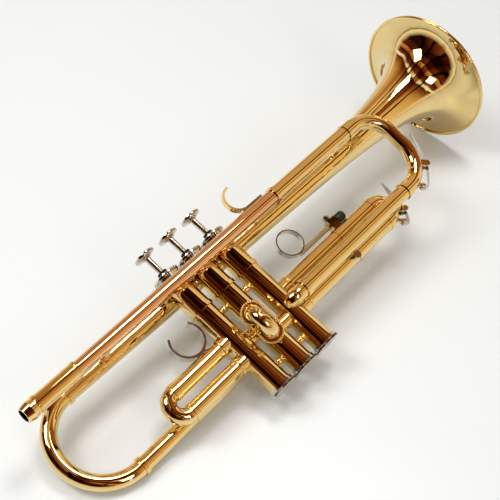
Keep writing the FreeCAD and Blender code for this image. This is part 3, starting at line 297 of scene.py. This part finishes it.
def top_caps():
    """Three caps with a raised hub, a shallow dish round it and a knurled flange."""
    form = bmesh.new()
    flange = cap_foot + FLANGE_RISE
    outline = ((STEM_HOLE, cap_top), (3.9, cap_top), (4.4, cap_top - 0.4), (4.6, cap_top - 1.2),
               (5.4, cap_top - 1.75), (8.4, cap_top - 2.0), (9.6, cap_top - 1.75), (10.4, cap_top - 1.85),
               (11.2, cap_top - 2.2), (FLANGE, cap_top - 2.6), (FLANGE, flange + 0.4), (FLANGE - 0.4, flange),
               (10.8, flange), (10.8, cap_foot), (THREAD_TOP, cap_foot), (THREAD_TOP, CASING_TOP),
               (STEM_HOLE, CASING_TOP), (STEM_HOLE, cap_top))
    for place in valve_places:
        turned(form, outline, (place.x, 0, place.z), ribbed=KNURL)
    piece(form, "turned_top_caps", "body", "nickel_plate", ("top_caps",))


def bottom_caps():
    """Three short caps, knurled round the rim and dished round the vent."""
    form = bmesh.new()
    low = foot_cap_low
    outline = ((VENT, low + 0.9), (2.4, low + 0.7), (7.6, low + 0.8), (8.8, low), (10.9, low),
               (FLANGE, low + 0.5), (FLANGE, low + 2.2), (FLANGE - 0.5, low + 2.6), (10.4, low + 2.6),
               (10.4, foot_cap_high), (THREAD_FOOT, foot_cap_high), (THREAD_FOOT, low + 2.2), (8.5, low + 2.2),
               (8.5, low + 1.6), (VENT, low + 1.6), (VENT, low + 0.9))
    for place in valve_places:
        turned(form, outline, (place.x, 0, place.z), ribbed=KNURL)
    piece(form, "turned_bottom_caps", "body", "nickel_plate", ("bottom_caps",))


def finger_buttons():
    """Each button is a turned disc with a rolled rim round a shallow dome, on a short waist."""
    top, rim, foot = button_top, button_radius, button_foot
    outline = ((0, top - 0.25), (2.6, top - 0.35), (5.0, top - 0.7), (rim - 2.5, top - 1.25),
               (rim - 2.1, top - 1.2), (rim - 1.7, top - 0.4), (rim - 1.0, top), (rim - 0.35, top - 0.2),
               (rim, top - 0.8), (rim, top - 1.9), (rim - 0.4, top - 2.4), (rim - 1.9, top - 2.8),
               (4.8, foot + 1.1), (3.9, foot + 0.3), (3.7, foot), (STEM, foot), (STEM, foot + 1.4),
               (0, foot + 1.4))
    for number, place in zip(VALVES, valve_places):
        form = bmesh.new()
        turned(form, outline, (place.x, 0, place.z), ribbed=rim - 0.2, ribs=0.22)
        piece(form, f"turned_button_{number}", f"valve_{number}", "nickel_plate", (f"finger_button_{number}",))


def valve_springs():
    """The coil under each spring barrel's lid."""
    for number in VALVES:
        low, high = box_of(f"valve_spring_{number}")
        length = high.y - low.y - 2 * SPRING_WIRE
        radius = (high.x - low.x) / 2 - SPRING_WIRE
        foot = Vector(((low.x + high.x) / 2, low.y + SPRING_WIRE, (low.z + high.z) / 2))
        form = bmesh.new()
        wire(form, coil(foot, (0, 1, 0), radius, length, SPRING_TURNS), SPRING_WIRE)
        item = piece(form, f"coiled_spring_{number}", "body", "spring_steel", (f"valve_spring_{number}",))
        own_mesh(item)


# ---------------------------------------------------------------- the second slide's beads

BEAD = 0.95  # radius of a bead
BEAD_PITCH = 2 * BEAD * 0.86  # neighbouring beads run into each other a little
BEAD_REACH = 8.6  # from a leg's axis to the middle of its beads
RING_OUTSIDE = 8.0  # radius of the ferrules' raised rings


def rope_ring():
    """The beaded oval that runs round both legs of the second slide."""
    form = bmesh.new()
    out = heading("second_slide_pull")
    middle = centre_of("second_slide_ferrules")
    low, high = box_of("second_slide_ferrules")
    side = out.cross(Vector((0, 1, 0))).normalized()
    half = (high.y - low.y) / 2 - RING_OUTSIDE
    quarter = math.pi * BEAD_REACH / 2
    around = 4 * (quarter + half)
    count = round(around / BEAD_PITCH)
    for index in range(count):
        lap, step = divmod(index * around / count, around / 2)
        facing = 1 if lap == 0 else -1
        if step < 2 * half:
            place = Vector((BEAD_REACH, step - half))
        else:
            angle = (step - 2 * half) / BEAD_REACH
            place = Vector((BEAD_REACH * math.cos(angle), half + BEAD_REACH * math.sin(angle)))
        spot = middle + facing * (side * place.x + Vector((0, 1, 0)) * place.y)
        bmesh.ops.create_uvsphere(form, u_segments=8, v_segments=6, radius=BEAD, matrix=Matrix.Translation(spot))
    piece(form, "rope_ring", "second_slide", "gold_lacquered_brass")


# ---------------------------------------------------------------- water keys

CUP_RISE = 3.0  # where the arm meets the cup, above the cork's middle
CUP = ((0, 1.9), (1.6, 1.75), (2.6, 1.2), (3.2, 0.2), (3.3, -0.6), (3.3, -1.4), (2.7, -1.4), (2.7, 0), (0, 0))
KEY_SHEET = 0.9  # thickness of a lever
KEY_DISH = 0.14  # how far a lever's edges drop, as a share of half its width
KEY_BORE, KEY_KNUCKLE, KEY_HALF = 1.0, 1.9, 3.0  # the knuckle's radii and half its length
KEY_WIRE = 0.28  # radius of a key spring's wire
# Half the width of a lever at shares of its length, from the finger end to the cork.
LEAF = ((0.0, 0.5), (0.06, 1.7), (0.2, 2.7), (0.34, 2.5), (0.5, 1.7), (0.6, 2.2), (0.8, 1.5), (1.0, 2.0))


def leaf_width(share):
    """Half the width of a lever at this share of its length."""
    for (start, narrow), (end, wide) in zip(LEAF, LEAF[1:]):
        if share <= end:
            return narrow + (wide - narrow) * (share - start) / (end - start)
    return LEAF[-1][1]


def flat_direction(name):
    """The direction that the largest flat face of a CAD node looks in, in the playing frame."""
    tally = {}
    for face in nodes[name].data.polygons:
        side = tuple(round(value, 2) for value in face.normal)
        tally[side] = tally.get(side, 0) + face.area
    return (TO_PLAY.to_3x3() @ Vector(max(tally, key=tally.get))).normalized()


def leaf(form, path, across, away):
    """A dished sheet along a path of points, as wide at each as a lever is there."""
    last = len(path) - 1
    sheet = bmesh.ops.create_grid(form, x_segments=last, y_segments=4, size=1.0)["verts"]
    for vertex in sheet:
        index = round((vertex.co.x + 1) / 2 * last)
        v = vertex.co.y
        width = leaf_width(index / last)
        vertex.co = path[index] + across * v * width - away * KEY_DISH * v * v * width
    bmesh.ops.solidify(form, geom=form.faces, thickness=KEY_SHEET)


def water_key(name, slide, key):
    """A leaf-shaped finger end, a knuckle on the pin, an arched arm that holds the cork's cup, and the spring."""
    across = heading(f"{name}_turn")
    pin, cork = centre_of(f"{name}_pin"), centre_of(f"{name}_cork")
    corners = [TO_PLAY @ vertex.co for vertex in nodes[f"{name}_lever"].data.vertices]
    tip = max(corners, key=lambda point: (point - cork).length)
    tip = tip - across * (tip - pin).dot(across)
    away = (pin - (tip + cork) / 2).normalized()
    out = flat_direction(f"{name}_cork")
    if out.dot(away) < 0:
        out.negate()
    cup = cork + out * CUP_RISE
    crown = pin + away * 1.5
    front = interpolate_bezier(tip, tip.lerp(pin, 0.35) + away * 2.6, tip.lerp(pin, 0.75) + away * 2.2, crown, 17)
    rear = interpolate_bezier(crown, pin.lerp(cup, 0.25) + away * 4.2, cup + out * 3.0 + away * 1.2,
                              cup + out * 0.8, 13)
    form = bmesh.new()
    leaf(form, front + rear[1:], across, away)
    turned(form, ((KEY_BORE, -KEY_HALF), (KEY_KNUCKLE, -KEY_HALF), (KEY_KNUCKLE, KEY_HALF), (KEY_BORE, KEY_HALF),
                  (KEY_BORE, -KEY_HALF)), pin, across, 24)
    turned(form, CUP, cork + out * (CUP_RISE - 1.6), out, 32)
    piece(form, f"{name}_leaf_lever", key, "nickel_plate", (f"{name}_lever",), crease=50)

    form = bmesh.new()
    wire(form, coil(pin - across * 2.6, across, 2.25, 1.8, 3), KEY_WIRE)
    piece(form, f"{name}_spring", slide, "spring_steel")


# ---------------------------------------------------------------- small turned pieces

def small_turned_pieces():
    """The finger ring's knob, ribbed for the fingers."""
    low, high = box_of("rod_knob")
    middle, radius = (low + high) / 2, (high.y - low.y) / 2
    form = bmesh.new()
    turned(form, ((0, low.x), (radius - 1.0, low.x), (radius - 0.3, low.x + 0.4), (radius, low.x + 1.2),
                  (radius, high.x - 1.6), (radius - 0.5, high.x - 0.6), (radius - 1.4, high.x), (0, high.x)),
           (0, middle.y, middle.z), (1, 0, 0), 48, radius - 0.15, 0.25)
    piece(form, "ribbed_rod_knob", "third_finger_ring", "black_nylon", ("rod_knob",))


top_caps()
bottom_caps()
finger_buttons()
valve_springs()
rope_ring()
water_key("main_key", "main_slide", "main_water_key")
water_key("third_key", "third_slide", "third_water_key")
small_turned_pieces()


# ---------------------------------------------------------------- table, light and camera

ROOM_LEVEL = 1.08
DAYLIGHT = 0.26
SWAY = 0.22  # how far the room's bands wander
# Colours that the metal mirrors: along the trumpet, and across it.
AHEAD = ((0.0, "#7a4a2a"), (0.06, "#4a200d"), (0.08, "#2a0f05"), (0.155, "#2a0f05"), (0.2, "#5f2f14"),
         (0.24, "#6b3216"), (0.27, "#2a0f05"), (0.29, "#d8a468"), (0.34, "#a86c3c"), (0.355, "#2a0f05"),
         (0.43, "#7a4420"), (0.45, "#ffffff"), (0.475, "#ffffff"), (0.49, "#4a200d"), (0.55, "#8f5f34"),
         (0.62, "#d0a870"), (0.72, "#f0dab0"), (1.0, "#fbeed6"))
ASIDE = ((0.0, "#ffffff"), (0.16, "#f4e4c8"), (0.17, "#4a2411"), (0.20, "#4a2411"), (0.21, "#ffffff"),
         (0.30, "#e8cfa8"), (0.31, "#8e5a3c"), (0.42, "#9c6a4a"), (0.43, "#2e1206"), (0.455, "#2e1206"),
         (0.465, "#ffffff"), (0.55, "#e6c89c"), (0.60, "#c89c6a"), (0.605, "#3a1a0a"), (0.63, "#3a1a0a"),
         (0.64, "#ffffff"), (0.71, "#ffffff"), (0.72, "#6b3d20"), (0.75, "#6b3d20"), (0.76, "#ffffff"),
         (0.85, "#b98a5c"), (1.0, "#ffffff"))


def table():
    """A pale table top with a dull gloss."""
    material, tree, shader = new_material("white_laminate")
    feed(tree, shader, [("Base Color", ramp(tree, noise(tree, 3.0, 2.0), ((0.0, "#eceff0"), (1.0, "#f2f5f6"))))],
         Roughness=0.32)
    form = bmesh.new()
    bmesh.ops.create_grid(form, x_segments=1, y_segments=1, size=4.0)
    mesh = bpy.data.meshes.new("table")
    form.to_mesh(mesh)
    form.free()
    mesh.materials.append(material)
    top = bpy.data.objects.new("table", mesh)
    bpy.context.scene.collection.objects.link(top)


def lamp(name, place, size, power, colour, mirrored):
    """A rectangular lamp aimed at the table's middle."""
    light = bpy.data.lights.new(name, "AREA")
    light.shape, light.size, light.size_y = "RECTANGLE", size[0], size[1]
    light.energy, light.color = power, linear(colour)[:3]
    item = bpy.data.objects.new(name, light)
    item.location = place
    item.rotation_euler = (-Vector(place)).to_track_quat("-Z", "Y").to_euler()
    item.visible_glossy = mirrored
    bpy.context.scene.collection.objects.link(item)


def surroundings():
    """The metal mirrors a room of brown and pale bands overhead, which fade to a plain warm white at the
    horizon and below it. All other surfaces get an even, neutral daylight."""
    world = bpy.data.worlds.new("room")
    world.use_nodes = True
    tree = world.node_tree
    place = add(tree, "TexCoord")
    sway = add(tree, "TexNoise", [("Vector", place.outputs["Generated"])], Scale=1.7, Detail=2.0)
    soft = add(tree, "VectorMath", [(0, sway.outputs["Color"])], operation="SCALE", Scale=SWAY)
    bent = add(tree, "VectorMath", [(0, place.outputs["Generated"]), (1, soft.outputs["Vector"])], operation="ADD")
    split = add(tree, "SeparateXYZ", [("Vector", bent.outputs["Vector"])])
    low, high = SWAY / 2 - 1, SWAY / 2 + 1
    ahead = add(tree, "MapRange", [("Value", split.outputs["X"])], From_Min=low, From_Max=high)
    aside = add(tree, "MapRange", [("Value", split.outputs["Y"])], From_Min=low, From_Max=high)
    walls = ramp(tree, ahead.outputs["Result"], AHEAD)
    lines = ramp(tree, aside.outputs["Result"], ASIDE)
    mixed = add(tree, "MixRGB", [("Color1", walls), ("Color2", lines)], blend_type="MULTIPLY", Fac=1.0)
    height = add(tree, "SeparateXYZ", [("Vector", place.outputs["Generated"])])
    share = ramp(tree, height.outputs["Z"], ((0.02, "#ffffff"), (0.16, "#000000")))
    glow = add(tree, "MixRGB", [("Fac", share), ("Color1", mixed.outputs["Color"])], blend_type="MIX",
               Color2=linear("#f7ecd8"))
    back = tree.nodes["Background"]
    tree.links.new(glow.outputs["Color"], back.inputs["Color"])
    back.inputs["Strength"].default_value = ROOM_LEVEL
    daylight = add(tree, "Background", Color=linear("#f1f1ef"), Strength=DAYLIGHT)
    ray = add(tree, "LightPath")
    either = add(tree, "MixShader", [("Fac", ray.outputs["Is Glossy Ray"]), (1, daylight.outputs["Background"]),
                                     (2, back.outputs["Background"])])
    tree.links.new(either.outputs["Shader"], tree.nodes["World Output"].inputs["Surface"])
    bpy.context.scene.world = world


# The camera's place and aim are in the playing frame, in millimetres, and its roll is in radians.
CAMERA_PLACE = Vector((-384.462, -150.420, 730.686))
CAMERA_AIM = Vector((39.768, -13.548, 0.0))
CAMERA_ROLL = -0.82653
LENS_WIDTHS = 2.21206  # focal length over the picture's width
LENS_SHIFT = (0.0045, -0.0013)


def camera():
    """A short telephoto lens looking down on the table from behind the mouthpiece's end."""
    data = bpy.data.cameras.new("camera")
    data.sensor_width = 36.0
    data.lens = LENS_WIDTHS * data.sensor_width
    data.shift_x, data.shift_y = LENS_SHIFT
    data.clip_start, data.clip_end = 0.01, 50.0
    ahead = (CAMERA_AIM - CAMERA_PLACE).normalized()
    right = ahead.cross(Vector((0, 1, 0))).normalized()
    up = right.cross(ahead)
    level = Matrix((right, up, -ahead)).transposed()
    turn = level @ Matrix.Rotation(CAMERA_ROLL, 3, "Z")
    item = bpy.data.objects.new("camera", data)
    item.matrix_world = Matrix.Translation(PLAY @ CAMERA_PLACE) @ (PLAY.to_3x3().normalized() @ turn).to_4x4()
    bpy.context.scene.collection.objects.link(item)
    bpy.context.scene.camera = item


# Name, place and size in metres, power in watts, colour, and whether the metal mirrors it.
LAMPS = (
    ("window", (-0.75, 0.85, 1.5), (0.55, 0.8), 12.0, "#fffaf4", True),
    ("ceiling_panel", (0.45, 0.15, 1.7), (0.45, 0.45), 8.0, "#fffaf4", True),
    ("side_panel", (-0.3, -1.3, 1.1), (0.35, 0.6), 4.0, "#fff4e6", True),
    ("sky_fill", (-0.3, 0.5, 2.2), (2.6, 2.6), 17.0, "#f6fbff", False),
    ("left_fill", (-1.9, -0.6, 1.3), (1.6, 1.6), 9.0, "#f6fbff", False),
)

table()
surroundings()
for row in LAMPS:
    lamp(*row)
camera()
bpy.context.scene.view_settings.view_transform = "Standard"
